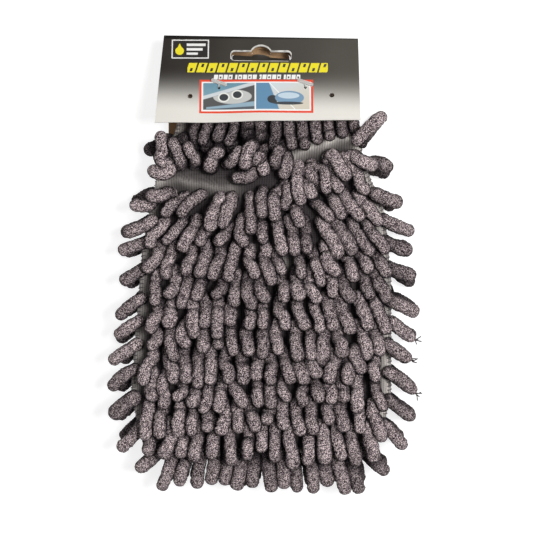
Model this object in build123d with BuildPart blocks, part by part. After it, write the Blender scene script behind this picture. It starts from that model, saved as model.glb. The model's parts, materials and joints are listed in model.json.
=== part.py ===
from build123d import *
import math
import os

# A chenille wash mitt lying face up on a table, with the folded header card pinned over its cuff.
# Millimetres. X is across the mitt, +Y runs to the cuff and the card, +Z out of the front face.
# The origin is on the table, under the middle of the whole object.

# the mitt's two knit panels
cuff_half_width = 56
waist_half_width = 66
hip_half_width = 78
cuff_y = 113.5        # the mouth's edge
hem_y = 93.5          # where the hem's band ends and the pile starts
waist_y = 39.5
hip_y = -75.5
foot_y = -113.5       # the bottom seam
foot_corner_radius = 30
knit_thickness = 1.5
hand_gap = 8          # the room for the hand, between the panels
seam_width = 3.5

# the chenille fingers and the rows that they hang in
finger_diameter = 7.0
finger_length = 24
last_finger_length = 28.4
finger_lift = 28.5    # degrees off the panel
last_finger_lift = 14
finger_gap = 1.4      # between neighbours at their roots
fan_angle = 46        # degrees outwards at the ends of a row
row_count = 14
row_pitch = 15.3
first_row_y = 87.5
root_strip_width = 2.6
root_strip_height = 1.5
root_clearance = 0.05   # between a finger's rounded root and the panel
pile_clearance = 0.2    # between the back fingers' tips and the table

# the hem, its elastic and its stitching
hem_thickness = 3.6
hem_swell = 2.1       # how much taller the hem stands than the two panels behind it
elastic_thickness = 1.2
elastic_width = 12
elastic_room = 0.2
stitch_length = 3.4
stitch_pitch = 5.0
stitch_diameter = 0.7

# the header card
card_thickness = 0.6
crease_y = 135.5
crease_half_width = 58.5
front_leaf_end_y = 83.9
front_leaf_rise = 17.3          # height gained from the crease to its lower edge
front_leaf_half_width = 61
front_leaf_skew = 2             # its lower edge sits this far to the left
back_leaf_end_y = 76.6
back_leaf_half_width = 57
back_leaf_flat_y = 98.5         # where the back leaf comes down on the table
back_leaf_bend = 14
crease_gap = 0.5                # between the two leaves at the fold
slot_width = 36
slot_height = 6.2
slot_arch_width = 13
slot_arch_height = 10
slot_drop = 15.2                # from the crease down to the slot's lower edge, along Y
slot_corner_radius = 2.2
flap_room = 0.35
flap_push = 40                  # degrees that the front flap stands pushed back
back_flap_push = 25             # and the back one
punch_diameter = 3
punch_half_span = 42.2
punch_y = 99.2

# the plastic tag pins
pin_spots = {"left": -25, "right": 26.5}
pin_y = 106.5                   # the bar
pin_neck = 2.2                  # from the bar down to the hole
pin_filament = 0.9
pin_bar_length = 10
pin_bar_width = 2.1
pin_bar_height = 1.3
pin_paddle_length = 6.5
pin_paddle_corner = 0.8
pin_room = 0.4
pin_lift = 0.15                 # the bar's rest above the card
pin_tail = 3.0                  # from the back leaf down to the paddle's far face
pin_bar_turn = -20
pin_hole_y = pin_y - pin_neck
pin_hole_radius = pin_filament / 2 + pin_room
cut_past = 1                    # how far a cut runs on past what it cuts

finger_radius = finger_diameter / 2
pile_height = (
    2 * finger_radius
    + (finger_length - finger_diameter) * math.sin(math.radians(finger_lift))
    + pile_clearance
)
back_panel_z = pile_height
cavity_floor_z = back_panel_z + knit_thickness
cavity_roof_z = cavity_floor_z + hand_gap
front_face_z = cavity_roof_z + knit_thickness
middle_z = (cavity_floor_z + cavity_roof_z) / 2
middle_plane = Plane.XY.offset(middle_z)

os.makedirs("parts", exist_ok=True)


def save(piece, label):
    piece.part.label = label
    export_step(piece.part, f"parts/{label}.step")


# ---------------------------------------------------------------- knit panels

def mitt_outline(inset, top_y):
    """The panel's outline, drawn in from its edge by inset and ending at top_y."""
    with BuildSketch() as outline:
        with BuildLine():
            right = Spline(
                (cuff_half_width - inset, top_y),
                (waist_half_width - inset, waist_y),
                (hip_half_width - inset, hip_y),
                tangents=((0.05, -1), (0, -1)),
            )
            corner = foot_corner_radius - inset
            arc = RadiusArc(
                right @ 1, (hip_half_width - inset - corner, foot_y + inset), corner
            )
            left = Spline(
                (-(cuff_half_width - inset), top_y),
                (-(waist_half_width - inset), waist_y),
                (-(hip_half_width - inset), hip_y),
                tangents=((-0.05, -1), (0, -1)),
            )
            left_arc = RadiusArc(
                left @ 1, (-(hip_half_width - inset - corner), foot_y + inset), -corner
            )
            Line(arc @ 1, left_arc @ 1)
            Line(right @ 0, left @ 0)
        make_face()
    return outline


def half_width_at(y):
    """The panel's half width at y, for laying out the rows."""
    if y > waist_y:
        share = (hem_y - y) / (hem_y - waist_y)
        return cuff_half_width + (waist_half_width - cuff_half_width) * share
    if y > hip_y:
        share = (waist_y - y) / (waist_y - hip_y)
        return waist_half_width + (hip_half_width - waist_half_width) * share
    drop = min(hip_y - y, foot_corner_radius)
    corner = foot_corner_radius - math.sqrt(foot_corner_radius**2 - drop**2)
    return hip_half_width - corner


with BuildPart() as front_panel:
    with BuildSketch(Plane.XY.offset(cavity_roof_z)):
        add(mitt_outline(0, hem_y).sketch)
    extrude(amount=knit_thickness)
save(front_panel, "front_panel")

with BuildPart() as back_panel:
    with BuildSketch(Plane.XY.offset(back_panel_z)):
        add(mitt_outline(0, hem_y).sketch)
    extrude(amount=knit_thickness)
save(back_panel, "back_panel")

# the overlocked allowance that joins the panels down both sides and across the foot
with BuildPart() as seam:
    with BuildSketch(Plane.XY.offset(cavity_floor_z)):
        add(mitt_outline(0, hem_y).sketch)
        add(mitt_outline(seam_width, hem_y + cut_past).sketch, mode=Mode.SUBTRACT)
    extrude(amount=hand_gap)
save(seam, "side_seam")

# ---------------------------------------------------------------- cuff hem

hem_top_width = 2 * cuff_half_width
hem_height = hand_gap + 2 * knit_thickness + hem_swell
hem_plane = Plane(origin=(0, cuff_y, middle_z), x_dir=(1, 0, 0), z_dir=(0, -1, 0))
hem_depth = cuff_y - hem_y
channel_plane = hem_plane.offset((hem_depth - elastic_width) / 2 - elastic_room)
pin_height = front_face_z * 2

with BuildPart() as hem:
    with BuildSketch(hem_plane):
        SlotOverall(hem_top_width, hem_height)
        SlotOverall(
            hem_top_width - 2 * hem_thickness, hem_height - 2 * hem_thickness,
            mode=Mode.SUBTRACT,
        )
    extrude(amount=hem_depth)
    # the folded band is hollow where the elastic runs
    skin = (hem_thickness - elastic_thickness) / 2 - elastic_room
    with BuildSketch(channel_plane):
        SlotOverall(hem_top_width - 2 * skin, hem_height - 2 * skin)
        SlotOverall(
            hem_top_width - 2 * (hem_thickness - skin),
            hem_height - 2 * (hem_thickness - skin),
            mode=Mode.SUBTRACT,
        )
    extrude(amount=elastic_width + 2 * elastic_room, mode=Mode.SUBTRACT)
    # the holes that the tag pins went through
    with BuildSketch(Plane.XY.offset(-cut_past)):
        with Locations(*[(x, pin_hole_y) for x in pin_spots.values()]):
            Circle(pin_hole_radius)
    extrude(amount=pin_height, mode=Mode.SUBTRACT)
save(hem, "cuff_hem")

with BuildPart() as elastic:
    wall = (hem_thickness - elastic_thickness) / 2
    with BuildSketch(channel_plane.offset(elastic_room)):
        SlotOverall(hem_top_width - 2 * wall, hem_height - 2 * wall)
        SlotOverall(
            hem_top_width - 2 * (hem_thickness - wall),
            hem_height - 2 * (hem_thickness - wall),
            mode=Mode.SUBTRACT,
        )
    extrude(amount=elastic_width)
    with BuildSketch(Plane.XY.offset(-cut_past)):
        with Locations(*[(x, pin_hole_y) for x in pin_spots.values()]):
            Circle(pin_hole_radius)
    extrude(amount=pin_height, mode=Mode.SUBTRACT)
save(elastic, "cuff_elastic")

# one line of stitches closes the hem, front and back
with BuildPart() as hem_stitches:
    stitch_y = hem_y + 2
    stitch_count = int((hem_top_width - hem_height) / stitch_pitch)
    stitch_x = [(i - (stitch_count - 1) / 2) * stitch_pitch for i in range(stitch_count)]
    for stitch_z in (-1, 1):
        level = middle_z + stitch_z * (hem_height / 2)
        with BuildSketch(Plane.XY.offset(level - (0 if stitch_z > 0 else stitch_diameter))):
            with Locations(*[(x, stitch_y) for x in stitch_x]):
                SlotOverall(stitch_length, stitch_diameter * 1.3)
        extrude(amount=stitch_diameter)
save(hem_stitches, "hem_stitching")

# ---------------------------------------------------------------- chenille rows

def chenille_finger(length):
    """One finger of pile, standing on its rounded root at the origin."""
    reach = length - finger_diameter
    with BuildPart() as finger:
        with BuildSketch(Plane.XZ):
            with BuildLine():
                foot = RadiusArc((0, -finger_radius), (finger_radius, 0), -finger_radius)
                side = Line(foot @ 1, (finger_radius, reach))
                cap = RadiusArc(side @ 1, (0, reach + finger_radius), -finger_radius)
                Line(cap @ 1, foot @ 0)
            make_face()
        revolve(axis=Axis.Z)
    return finger


def finger_places(row, lift):
    """A row's fingers from the middle outwards: where each stands, and how far round it fans."""
    root_y = first_row_y - row * row_pitch
    reach = half_width_at(root_y) - finger_radius

    def fan_at(x):
        return math.radians(fan_angle) * (x / reach) ** 2

    half = []
    x = 0 if row % 2 == 0 else (finger_diameter + finger_gap) / 2
    while x <= reach:
        half.append(x)
        spread = math.hypot(math.cos(fan_at(x)) * math.cos(lift), math.sin(lift))
        x += (finger_diameter + finger_gap) / spread
    # the row is eased apart so that its last finger stands at the panel's edge
    stretch = reach / half[-1]
    places = []
    for step in half:
        x = step * stretch
        places.append((x, root_y, fan_at(x)))
        if x > 0:
            places.append((-x, root_y, -fan_at(x)))
    return places


def chenille_row(row, side):
    """One row of fingers and the yarn that they loop from, on the front (1) or the back (-1)."""
    last = row == row_count - 1
    lift = math.radians(last_finger_lift if last else finger_lift)
    finger = chenille_finger(last_finger_length if last else finger_length)
    face_z = front_face_z if side > 0 else back_panel_z
    root_z = face_z + side * (finger_radius + root_clearance)
    places = finger_places(row, lift)
    spots = []
    for x, y, fan in places:
        along = (
            math.sin(fan) * math.cos(lift),
            -math.cos(fan) * math.cos(lift),
            side * math.sin(lift),
        )
        spots.append(Plane(origin=(x, y, root_z), z_dir=along).location)
    reach = max(x for x, y, fan in places)
    root_y = places[0][1]
    strip_plane = Plane.XY.offset(face_z if side > 0 else face_z - root_strip_height)
    with BuildPart() as pile:
        with BuildSketch(strip_plane):
            with Locations((0, root_y)):
                SlotOverall(2 * reach + root_strip_width, root_strip_width)
        extrude(amount=root_strip_height)
        with Locations(*spots):
            add(finger.part)
    return pile


for row in range(row_count):
    save(chenille_row(row, 1), f"front_chenille_row_{row + 1:02d}")
    save(chenille_row(row, -1), f"back_chenille_row_{row + 1:02d}")

# ---------------------------------------------------------------- header card

front_slope = math.atan2(front_leaf_rise, crease_y - front_leaf_end_y)
front_crease_z = middle_z + crease_gap
front_leaf_plane = Plane(
    origin=(0, crease_y, front_crease_z),
    x_dir=(1, 0, 0),
    z_dir=(0, math.sin(front_slope), math.cos(front_slope)),
)
front_leaf_length = math.hypot(front_leaf_rise, crease_y - front_leaf_end_y)
slot_edge = slot_drop / math.cos(front_slope)


def hang_slot(room):
    """The winged hang slot's outline with its lower edge on the X axis, drawn in by room."""
    with BuildSketch(mode=Mode.PRIVATE) as slot:
        with Locations((0, slot_height / 2)):
            RectangleRounded(
                slot_width - 2 * room, slot_height - 2 * room, slot_corner_radius
            )
        with Locations((0, slot_arch_height - slot_arch_width / 2)):
            Circle(slot_arch_width / 2 - room)
        # the lower edge is straight, so nothing of the arch is left under it
        Rectangle(
            2 * slot_width, 2 * slot_arch_width,
            align=(Align.CENTER, Align.MAX), mode=Mode.SUBTRACT,
        )
    return slot


with BuildPart() as front_leaf:
    with BuildSketch(front_leaf_plane):
        with BuildLine():
            Polyline(
                (-crease_half_width, 0),
                (crease_half_width, 0),
                (front_leaf_half_width - front_leaf_skew, -front_leaf_length),
                (-front_leaf_half_width - front_leaf_skew, -front_leaf_length),
                close=True,
            )
        make_face()
        with Locations((0, -slot_edge)):
            add(hang_slot(0).sketch, mode=Mode.SUBTRACT)
        punch_drop = (crease_y - punch_y) / math.cos(front_slope)
        with Locations((-punch_half_span, -punch_drop), (punch_half_span, -punch_drop)):
            Circle(punch_diameter / 2, mode=Mode.SUBTRACT)
    extrude(amount=card_thickness)
    with BuildSketch(Plane.XY.offset(middle_z)):
        with Locations(*[(x, pin_hole_y) for x in pin_spots.values()]):
            Circle(pin_hole_radius)
    extrude(amount=front_face_z, mode=Mode.SUBTRACT)
save(front_leaf, "card_front_leaf")

# the flap that the slot's die leaves hanging from its lower edge
front_flap_plane = Plane(front_leaf_plane * Pos(0, -slot_edge, 0) * Rot(-flap_push, 0, 0))
with BuildPart() as front_flap:
    with BuildSketch(front_flap_plane):
        with Locations((0, flap_room)):
            add(hang_slot(flap_room).sketch)
    extrude(amount=card_thickness)
save(front_flap, "card_front_flap")

# the back leaf comes down from the crease and then lies flat on the table
back_crease_z = middle_z - crease_gap
back_line_z = card_thickness / 2
with BuildPart() as back_leaf:
    with BuildSketch(Plane.YZ.offset(-back_leaf_half_width)):
        with BuildLine() as fall:
            FilletPolyline(
                (crease_y, back_crease_z - back_line_z),
                (back_leaf_flat_y, back_line_z),
                (back_leaf_end_y, back_line_z),
                radius=back_leaf_bend,
            )
        trace(fall.line, card_thickness)
    extrude(amount=2 * back_leaf_half_width)
    back_slope = math.atan2(back_crease_z - card_thickness, crease_y - back_leaf_flat_y)
    back_leaf_plane = Plane(
        origin=(0, crease_y, back_crease_z),
        x_dir=(1, 0, 0),
        z_dir=(0, -math.sin(back_slope), math.cos(back_slope)),
    )
    back_slot_edge = slot_drop / math.cos(back_slope)
    with BuildSketch(back_leaf_plane.offset(cut_past)):
        with Locations((0, -back_slot_edge)):
            add(hang_slot(0).sketch)
    extrude(amount=-(card_thickness + 2 * cut_past), mode=Mode.SUBTRACT)
    with BuildSketch(Plane.XY.offset(-cut_past)):
        with Locations(*[(x, pin_hole_y) for x in pin_spots.values()]):
            Circle(pin_hole_radius)
    extrude(amount=middle_z, mode=Mode.SUBTRACT)
save(back_leaf, "card_back_leaf")

# the back leaf's own flap stands only a little way open
back_flap_plane = Plane(
    back_leaf_plane * Pos(0, -back_slot_edge, -card_thickness) * Rot(-back_flap_push, 0, 0)
)
with BuildPart() as back_flap:
    with BuildSketch(back_flap_plane):
        with Locations((0, flap_room)):
            add(hang_slot(flap_room).sketch)
    extrude(amount=card_thickness)
save(back_flap, "card_back_flap")

# ---------------------------------------------------------------- tag pins

front_at_bar = front_crease_z + (crease_y - pin_y) * math.tan(front_slope)
front_at_hole = front_crease_z + (crease_y - pin_hole_y) * math.tan(front_slope)
back_at_hole = back_crease_z - (crease_y - pin_hole_y) * math.tan(back_slope)
card_rise = card_thickness / math.cos(front_slope)
bar_plane = Plane(
    origin=(0, pin_y, front_at_bar + card_rise),
    x_dir=(1, 0, 0),
    z_dir=(0, math.sin(front_slope), math.cos(front_slope)),
)
neck_length = pin_neck / math.cos(front_slope)
paddle_z = back_at_hole - pin_tail
filament_top_z = front_at_hole + card_rise + pin_lift + pin_filament / 2
for side, pin_x in pin_spots.items():
    with BuildPart() as pin:
        # the flat bar lies on the front leaf
        with BuildSketch(bar_plane.offset(pin_lift)):
            with Locations(Location((pin_x, 0), pin_bar_turn)):
                SlotOverall(pin_bar_length, pin_bar_width)
        extrude(amount=pin_bar_height)
        # a short neck leads from it down to the hole
        with BuildSketch(bar_plane.offset(pin_lift)):
            with Locations(Location((pin_x, -neck_length / 2), 90)):
                SlotOverall(neck_length + pin_filament, pin_filament)
        extrude(amount=pin_filament)
        # the filament runs down through the card and the hem
        with BuildSketch(Plane.XY.offset(paddle_z)):
            with Locations((pin_x, pin_hole_y)):
                Circle(pin_filament / 2)
        extrude(amount=filament_top_z - paddle_z)
        # the paddle holds behind the back leaf
        with BuildSketch(Plane.XY.offset(paddle_z)):
            with Locations((pin_x, pin_hole_y)):
                RectangleRounded(pin_paddle_length, pin_bar_width, pin_paddle_corner)
        extrude(amount=pin_bar_height)
    save(pin, f"tag_pin_{side}")
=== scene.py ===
import json
import math

import bmesh
import bpy
import numpy as np
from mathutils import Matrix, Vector


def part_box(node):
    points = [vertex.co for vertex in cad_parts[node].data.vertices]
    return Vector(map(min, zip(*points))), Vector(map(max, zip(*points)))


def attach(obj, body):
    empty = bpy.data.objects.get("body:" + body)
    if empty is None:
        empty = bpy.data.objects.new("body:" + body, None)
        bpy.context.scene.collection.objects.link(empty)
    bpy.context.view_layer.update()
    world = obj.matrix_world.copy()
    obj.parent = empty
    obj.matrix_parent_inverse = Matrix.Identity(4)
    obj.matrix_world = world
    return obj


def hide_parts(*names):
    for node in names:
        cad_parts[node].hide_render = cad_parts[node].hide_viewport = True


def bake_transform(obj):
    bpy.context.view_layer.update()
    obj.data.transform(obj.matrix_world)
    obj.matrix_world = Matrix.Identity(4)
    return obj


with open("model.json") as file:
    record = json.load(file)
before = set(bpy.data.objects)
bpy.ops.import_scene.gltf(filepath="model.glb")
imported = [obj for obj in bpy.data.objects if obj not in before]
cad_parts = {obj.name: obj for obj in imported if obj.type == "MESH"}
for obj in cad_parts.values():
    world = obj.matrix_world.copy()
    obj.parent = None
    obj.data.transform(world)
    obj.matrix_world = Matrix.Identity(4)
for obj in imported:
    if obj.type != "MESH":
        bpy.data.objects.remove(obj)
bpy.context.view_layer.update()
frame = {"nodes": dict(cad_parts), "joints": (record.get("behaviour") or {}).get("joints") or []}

mm = 0.001

# -------------------- meshes
# What every shape is made with: grids, tubes and the objects that carry them.


def in_scene(name, data):
    """An object of this mesh, light or camera, put in the scene."""
    made = bpy.data.objects.new(name, data)
    bpy.context.scene.collection.objects.link(made)
    return made


def make_mesh(name, points, faces):
    """A named mesh object from points and faces."""
    mesh = bpy.data.meshes.new(name)
    mesh.from_pydata([tuple(p) for p in np.asarray(points, float)], [], faces)
    mesh.validate()
    mesh.polygons.foreach_set("use_smooth", [True] * len(mesh.polygons))
    return in_scene(name, mesh)


def set_attribute(mesh, name, values):
    """Stores a number at each point of a mesh, for its material to read."""
    attribute = mesh.attributes.new(name, "FLOAT", "POINT")
    attribute.data.foreach_set("value", np.asarray(values, np.float32))


def grid_faces(rows, columns, closed=False):
    """The quads of a grid of rows by columns, joined round its columns where closed."""
    faces = []
    for i in range(rows - 1):
        for j in range(columns if closed else columns - 1):
            k = (j + 1) % columns
            near, far = i * columns, (i + 1) * columns
            faces.append((near + j, near + k, far + k, far + j))
    return faces


def tube_faces(loops, sides):
    """The faces of a closed tube of loops, with a flat one at each end."""
    first = tuple(reversed(range(sides)))
    last = tuple(range((loops - 1) * sides, loops * sides))
    return grid_faces(loops, sides, closed=True) + [first, last]


def rings_along(path, start, sides):
    """Rings of directions round a path that twist as little as they can, and the way ahead."""
    ahead = np.gradient(path, axis=0)
    ahead /= np.maximum(np.linalg.norm(ahead, axis=1, keepdims=True), 1e-9)
    across = np.empty_like(ahead)
    aside = np.cross(ahead[0], start)
    for i, way in enumerate(ahead):
        aside = aside - way * (aside @ way)
        aside /= np.linalg.norm(aside)
        across[i] = aside
    up = np.cross(ahead, across)
    angle = (np.arange(sides) * 2 * np.pi / sides)[None, :, None]
    return np.cos(angle) * across[:, None] + np.sin(angle) * up[:, None], ahead


def tube(path, radii, sides):
    """The skin of a round thread along a path: its points and faces, closed at both ends."""
    path = np.asarray(path, float)
    radii = np.broadcast_to(radii, len(path))
    ring = rings_along(path, (0.31, 0.22, 0.93), sides)[0]
    points = path[:, None] + radii[:, None, None] * ring
    return points.reshape(-1, 3), tube_faces(len(path), sides)


def joined(name, skins):
    """One mesh object from several skins of points and faces."""
    points, faces, offset = [], [], 0
    for skin, skin_faces in skins:
        points.append(skin)
        faces += [tuple(i + offset for i in face) for face in skin_faces]
        offset += len(skin)
    return make_mesh(name, np.concatenate(points), faces)


# -------------------- materials
# What every finish is made with: its shader's inputs, written as arithmetic.


class Finish:
    """A socket of a material, so that its shader maths reads as arithmetic."""

    def __init__(self, tree, socket=None):
        self.tree = tree
        self.socket = socket

    def node(self, kind, settings=None, inputs=None, output=0):
        made = self.tree.nodes.new("ShaderNode" + kind)
        for key, value in (settings or {}).items():
            if key == "stops":
                ramp = made.color_ramp
                while len(ramp.elements) < len(value):
                    ramp.elements.new(0.5)
                for stop, (place, colour) in zip(ramp.elements, value):
                    stop.position = place
                    stop.color = (*colour, 1)
            else:
                setattr(made, key, value)
        for key, value in (inputs or {}).items():
            if isinstance(value, Finish):
                self.tree.links.new(value.socket, made.inputs[key])
            else:
                made.inputs[key].default_value = value
        return Finish(self.tree, made.outputs[output])

    def maths(self, operation, *values):
        return self.node("Math", {"operation": operation}, dict(enumerate(values)))

    def __add__(self, other):
        return self.maths("ADD", self, other)

    __radd__ = __add__

    def __mul__(self, other):
        return self.maths("MULTIPLY", self, other)

    __rmul__ = __mul__

    def __sub__(self, other):
        return self.maths("SUBTRACT", self, other)

    def __rsub__(self, other):
        return self.maths("SUBTRACT", other, self)

    def __truediv__(self, other):
        return self.maths("DIVIDE", self, other)

    def __gt__(self, other):
        return self.maths("GREATER_THAN", self, other)

    def __lt__(self, other):
        return self.maths("LESS_THAN", self, other)

    def power(self, other):
        return self.maths("POWER", self, other)

    def most(self, other):
        return self.maths("MAXIMUM", self, other)

    def size(self):
        return self.maths("ABSOLUTE", self)

    def wave(self, length):
        """A sine along this value, from -1 to 1, that repeats every length."""
        return self.maths("SINE", self * (2 * math.pi / length))

    def repeat(self, length):
        """The remainder after whole lengths, from 0 up to length."""
        return self.maths("WRAP", self, length, 0.0)

    def eased(self, low, high):
        """0 below low, 1 above high, and eased between."""
        return self.node(
            "MapRange", {"interpolation_type": "SMOOTHSTEP"},
            {"Value": self, "From Min": low, "From Max": high},
        )

    def mix(self, under, over):
        """The colour under where this mask is 0, and over where it is 1."""
        under = (*under, 1) if isinstance(under, tuple) else under
        over = (*over, 1) if isinstance(over, tuple) else over
        return self.node("Mix", {"data_type": "RGBA"}, {0: self, 6: under, 7: over}, 2)

    def place(self):
        return self.node("TexCoord", output=3)

    def noise(self, grain, detail=2.0, rough=0.55):
        """Cloudy noise whose grain is a length in metres."""
        inputs = {"Vector": self.place(), "Scale": 1 / grain, "Detail": detail, "Roughness": rough}
        return self.node("TexNoise", {}, inputs)

    def cells(self, grain):
        """The distance to the nearest of scattered points a grain apart."""
        return self.node("TexVoronoi", {}, {"Vector": self.place(), "Scale": 1 / grain})

    def stored(self, name):
        """A number kept at each point of the mesh under this name."""
        return self.node("Attribute", {"attribute_name": name}, output=2)

    def axes(self):
        """The three coordinates of a point of the piece, in metres."""
        split = self.node("SeparateXYZ", {}, {0: self.place()})
        outputs = split.socket.node.outputs
        return [Finish(self.tree, outputs[i]) for i in range(3)]


def new_finish(name, **constants):
    """A material with a Principled shader, its fixed sockets set, and the start of its maths."""
    material = bpy.data.materials.new(name)
    material.use_nodes = True
    shader = material.node_tree.nodes["Principled BSDF"]
    for key, value in constants.items():
        shader.inputs[key.replace("_", " ")].default_value = value
    return material, Finish(material.node_tree)


def feed(material, **links):
    """Joins what varies over the surface to the material's shader."""
    shader = material.node_tree.nodes["Principled BSDF"]
    for key, value in links.items():
        value.tree.links.new(value.socket, shader.inputs[key.replace("_", " ")])
    return material


def bump(height, strength, distance):
    """A Bump node for the Normal socket, from a height and its depth in metres."""
    return height.node("Bump", {}, {"Height": height, "Strength": strength, "Distance": distance})


# -------------------- studio
# A plain white table under a small key light and a wide fill, seen from straight above.

floor_size = 9.0
floor = make_mesh(
    "floor",
    [(-floor_size, -floor_size, 0), (floor_size, -floor_size, 0),
     (floor_size, floor_size, 0), (-floor_size, floor_size, 0)],
    [(0, 1, 2, 3)],
)
white_table = new_finish(
    "white_table", Base_Color=(0.42, 0.42, 0.42, 1), Roughness=0.9, Specular_IOR_Level=0.1,
    Emission_Color=(1, 1, 1, 1), Emission_Strength=0.78,
)[0]
floor.data.materials.append(white_table)

world = bpy.data.worlds.new("studio")
bpy.context.scene.world = world
world.use_nodes = True
backdrop = world.node_tree.nodes["Background"].inputs
backdrop["Color"].default_value = (1, 1, 1, 1)
backdrop["Strength"].default_value = 0.16


def soft_light(name, place, aim, size, watts):
    """A square area light that points from place to aim."""
    lamp = bpy.data.lights.new(name, "AREA")
    lamp.size = size
    lamp.energy = watts
    holder = in_scene(name, lamp)
    holder.location = place
    holder.rotation_euler = (Vector(aim) - Vector(place)).to_track_quat("-Z", "Y").to_euler()


soft_light("key", (0.52, 0.06, 1.3), (0, 0, 0), 0.4, 16.5)
soft_light("fill", (-0.4, 0.3, 1.4), (0, 0, 0), 1.2, 3)

camera_height = 1.02
view_plane = 26 * mm
view_width = 320 * mm
sensor_width = 36
camera = in_scene("camera", bpy.data.cameras.new("camera"))
camera.location = (3.3 * mm, -3.0 * mm, camera_height)
camera.data.sensor_width = sensor_width
camera.data.lens = sensor_width * (camera_height - view_plane) / view_width
camera.data.clip_end = 30
bpy.context.scene.camera = camera
bpy.context.scene.view_settings.view_transform = "Standard"

# -------------------- knit panels
# The mitt's body: two panels of ribbed polyester knit that the rows of pile are stitched to.
# They are sewn together at the edges, so each one domes a little between its seams.

panel_low, panel_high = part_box("front_panel")
hem_low, hem_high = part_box("cuff_hem")
back_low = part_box("back_panel")[0]

middle_z = (panel_high.z + back_low.z) / 2
panel_dome = (panel_high.z - back_low.z) / 2
foot_y = panel_low.y
hem_y = panel_high.y
cuff_y = hem_high.y
hip_half_width = panel_high.x - 1 * mm
foot_curve = [foot_y, foot_y + 5 * mm, foot_y + 16 * mm, foot_y + 34 * mm]
foot_reach = [52 * mm, 66 * mm, 74 * mm, hip_half_width]


def smooth(low, high, value):
    """0 below low, 1 above high, and eased between."""
    share = np.clip((value - low) / (high - low), 0, 1)
    return share * share * (3 - 2 * share)


def left_edge(y):
    """How far the panel reaches to the left of the middle line at y, as a positive length."""
    return np.interp(
        y, foot_curve + [10 * mm, 52 * mm, 80 * mm, cuff_y],
        foot_reach + [71 * mm, 62 * mm, 50 * mm, 47 * mm],
    )


def right_edge(y):
    """How far the panel reaches to the right of the middle line at y."""
    return np.interp(
        y, foot_curve + [-10 * mm, 30 * mm, 60 * mm, cuff_y],
        foot_reach + [hip_half_width, 74 * mm, 61 * mm, 55 * mm],
    )


def edge_at(x, y):
    """How far the panel reaches on the side where x is."""
    return np.where(x > 0, right_edge(y), left_edge(y))


def ripple(x, y, seed):
    """Gentle unevenness of stretched knit, about -1 to 1."""
    phases = np.random.default_rng(seed).uniform(0, 2 * np.pi, 8)
    waves = (
        np.sin(x / (19 * mm) + y / (31 * mm) + phases[0])
        + np.sin(y / (17 * mm) - x / (43 * mm) + phases[1])
        + 0.7 * np.sin(x / (9 * mm) + phases[2] + np.sin(y / (14 * mm) + phases[3]))
        + 0.7 * np.sin(y / (8 * mm) + phases[4] + np.sin(x / (12 * mm) + phases[5]))
    )
    return waves / 3.4


# the crests of two soft folds in the front panel and how high they rise, in mm
left_fold = [(-62, 47), (-50, 48.5), (-38, 46), (-27, 44), (-18, 43)]
right_fold = [(17, 56), (20, 63), (27, 68), (34, 68), (41, 72), (50, 74), (57, 71)]
left_rise, right_rise = 8.0, 6.5


def fold(x, y, crest, width):
    """1 along the crest of a soft fold, falling to 0 a width away."""
    nearest = np.full(np.shape(x), 1.0)
    for start, end in zip(crest, crest[1:]):
        a, b = np.array(start) * mm, np.array(end) * mm
        along = b - a
        share = np.clip(((x - a[0]) * along[0] + (y - a[1]) * along[1]) / (along @ along), 0, 1)
        away = np.hypot(x - a[0] - share * along[0], y - a[1] - share * along[1])
        nearest = np.minimum(nearest, away)
    return np.exp(-((nearest / (width * mm)) ** 2))


def knit_light_mask(x, y):
    """Painted light on the front's knit: 1 where it shows between the parted fingers and on the folds'
    crests, and 0 in painted shade under the pile.
    """
    left = fold(x, y, left_fold, 5)
    right = fold(x, y, right_fold, 3.8)
    sides = smooth(0.88, 1.0, np.abs(x) / edge_at(x, y))
    sides = sides * np.where(x > 0, 1.0, 0.55)
    middle = 0.5 * fold(x, y, [(6, 2), (12, -1)], 6)
    right = right * (0.75 + 0.25 * np.sin(x / (2.1 * mm) + 1))
    return np.clip(0.27 * left + right + sides + middle, 0, 1)


def panel_height(x, y, side):
    """The panel's surface over the table at x, y, for the front (1) or the back (-1)."""
    across = np.clip(np.abs(x) / edge_at(x, y), 0, 1)
    crown = np.sqrt(1 - 0.97 * across**5)
    foot = np.sqrt(np.clip((y - foot_y) / (22 * mm), 0.03, 1))
    height = panel_dome * np.minimum(crown, foot)
    height = height * (0.92 + 0.08 * np.minimum(crown, foot))
    if side > 0:
        height = height + 0.8 * mm * ripple(x, y, 3) * crown * foot
        left, right = fold(x, y, left_fold, 4.6), fold(x, y, right_fold, 3.4)
        pucker = 0.9 * np.sin(x / (2.3 * mm) + y / (5 * mm))
        height = height + (left_rise + pucker) * mm * left
        height = height + (right_rise + 1.3 * np.sin(x / (2.1 * mm) + 1)) * mm * right
    else:
        height = height + 0.5 * mm * ripple(x, y, 4) * crown * foot
    return middle_z + side * height


def knit_finish():
    material, at = new_finish("ribbed_knit", Roughness=0.92, Specular_IOR_Level=0.25)
    x, y, z = at.axes()
    drift = at.noise(9 * mm) * (1.4 * mm)
    rib = (x + drift).wave(1.5 * mm)
    loop = (y + z).wave(1.1 * mm)
    fuzz = at.noise(0.7 * mm, 3.0)
    height = rib * 0.5 + loop * 0.3 + fuzz * 0.9
    # the ribs' and loops' tops are painted lighter than the grooves between them: painted shade in the
    # grooves, with the fuzz's own grain
    tone = (height * 0.35 + 0.35 + at.noise(14 * mm) * 0.35).eased(0.1, 1.0)
    # painted shade: the knit under the pile is painted near black, and the lit knit pale
    under = tone.mix((0.012, 0.009, 0.011), (0.050, 0.042, 0.043))
    lit_knit = tone.mix((0.20, 0.175, 0.17), (0.72, 0.67, 0.62))
    return feed(
        material,
        Base_Color=at.stored("bare").mix(under, lit_knit),
        Normal=bump(height, 0.6, 0.35 * mm),
    )


ribbed_knit = knit_finish()
hem_lap = 1.5 * mm


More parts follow.
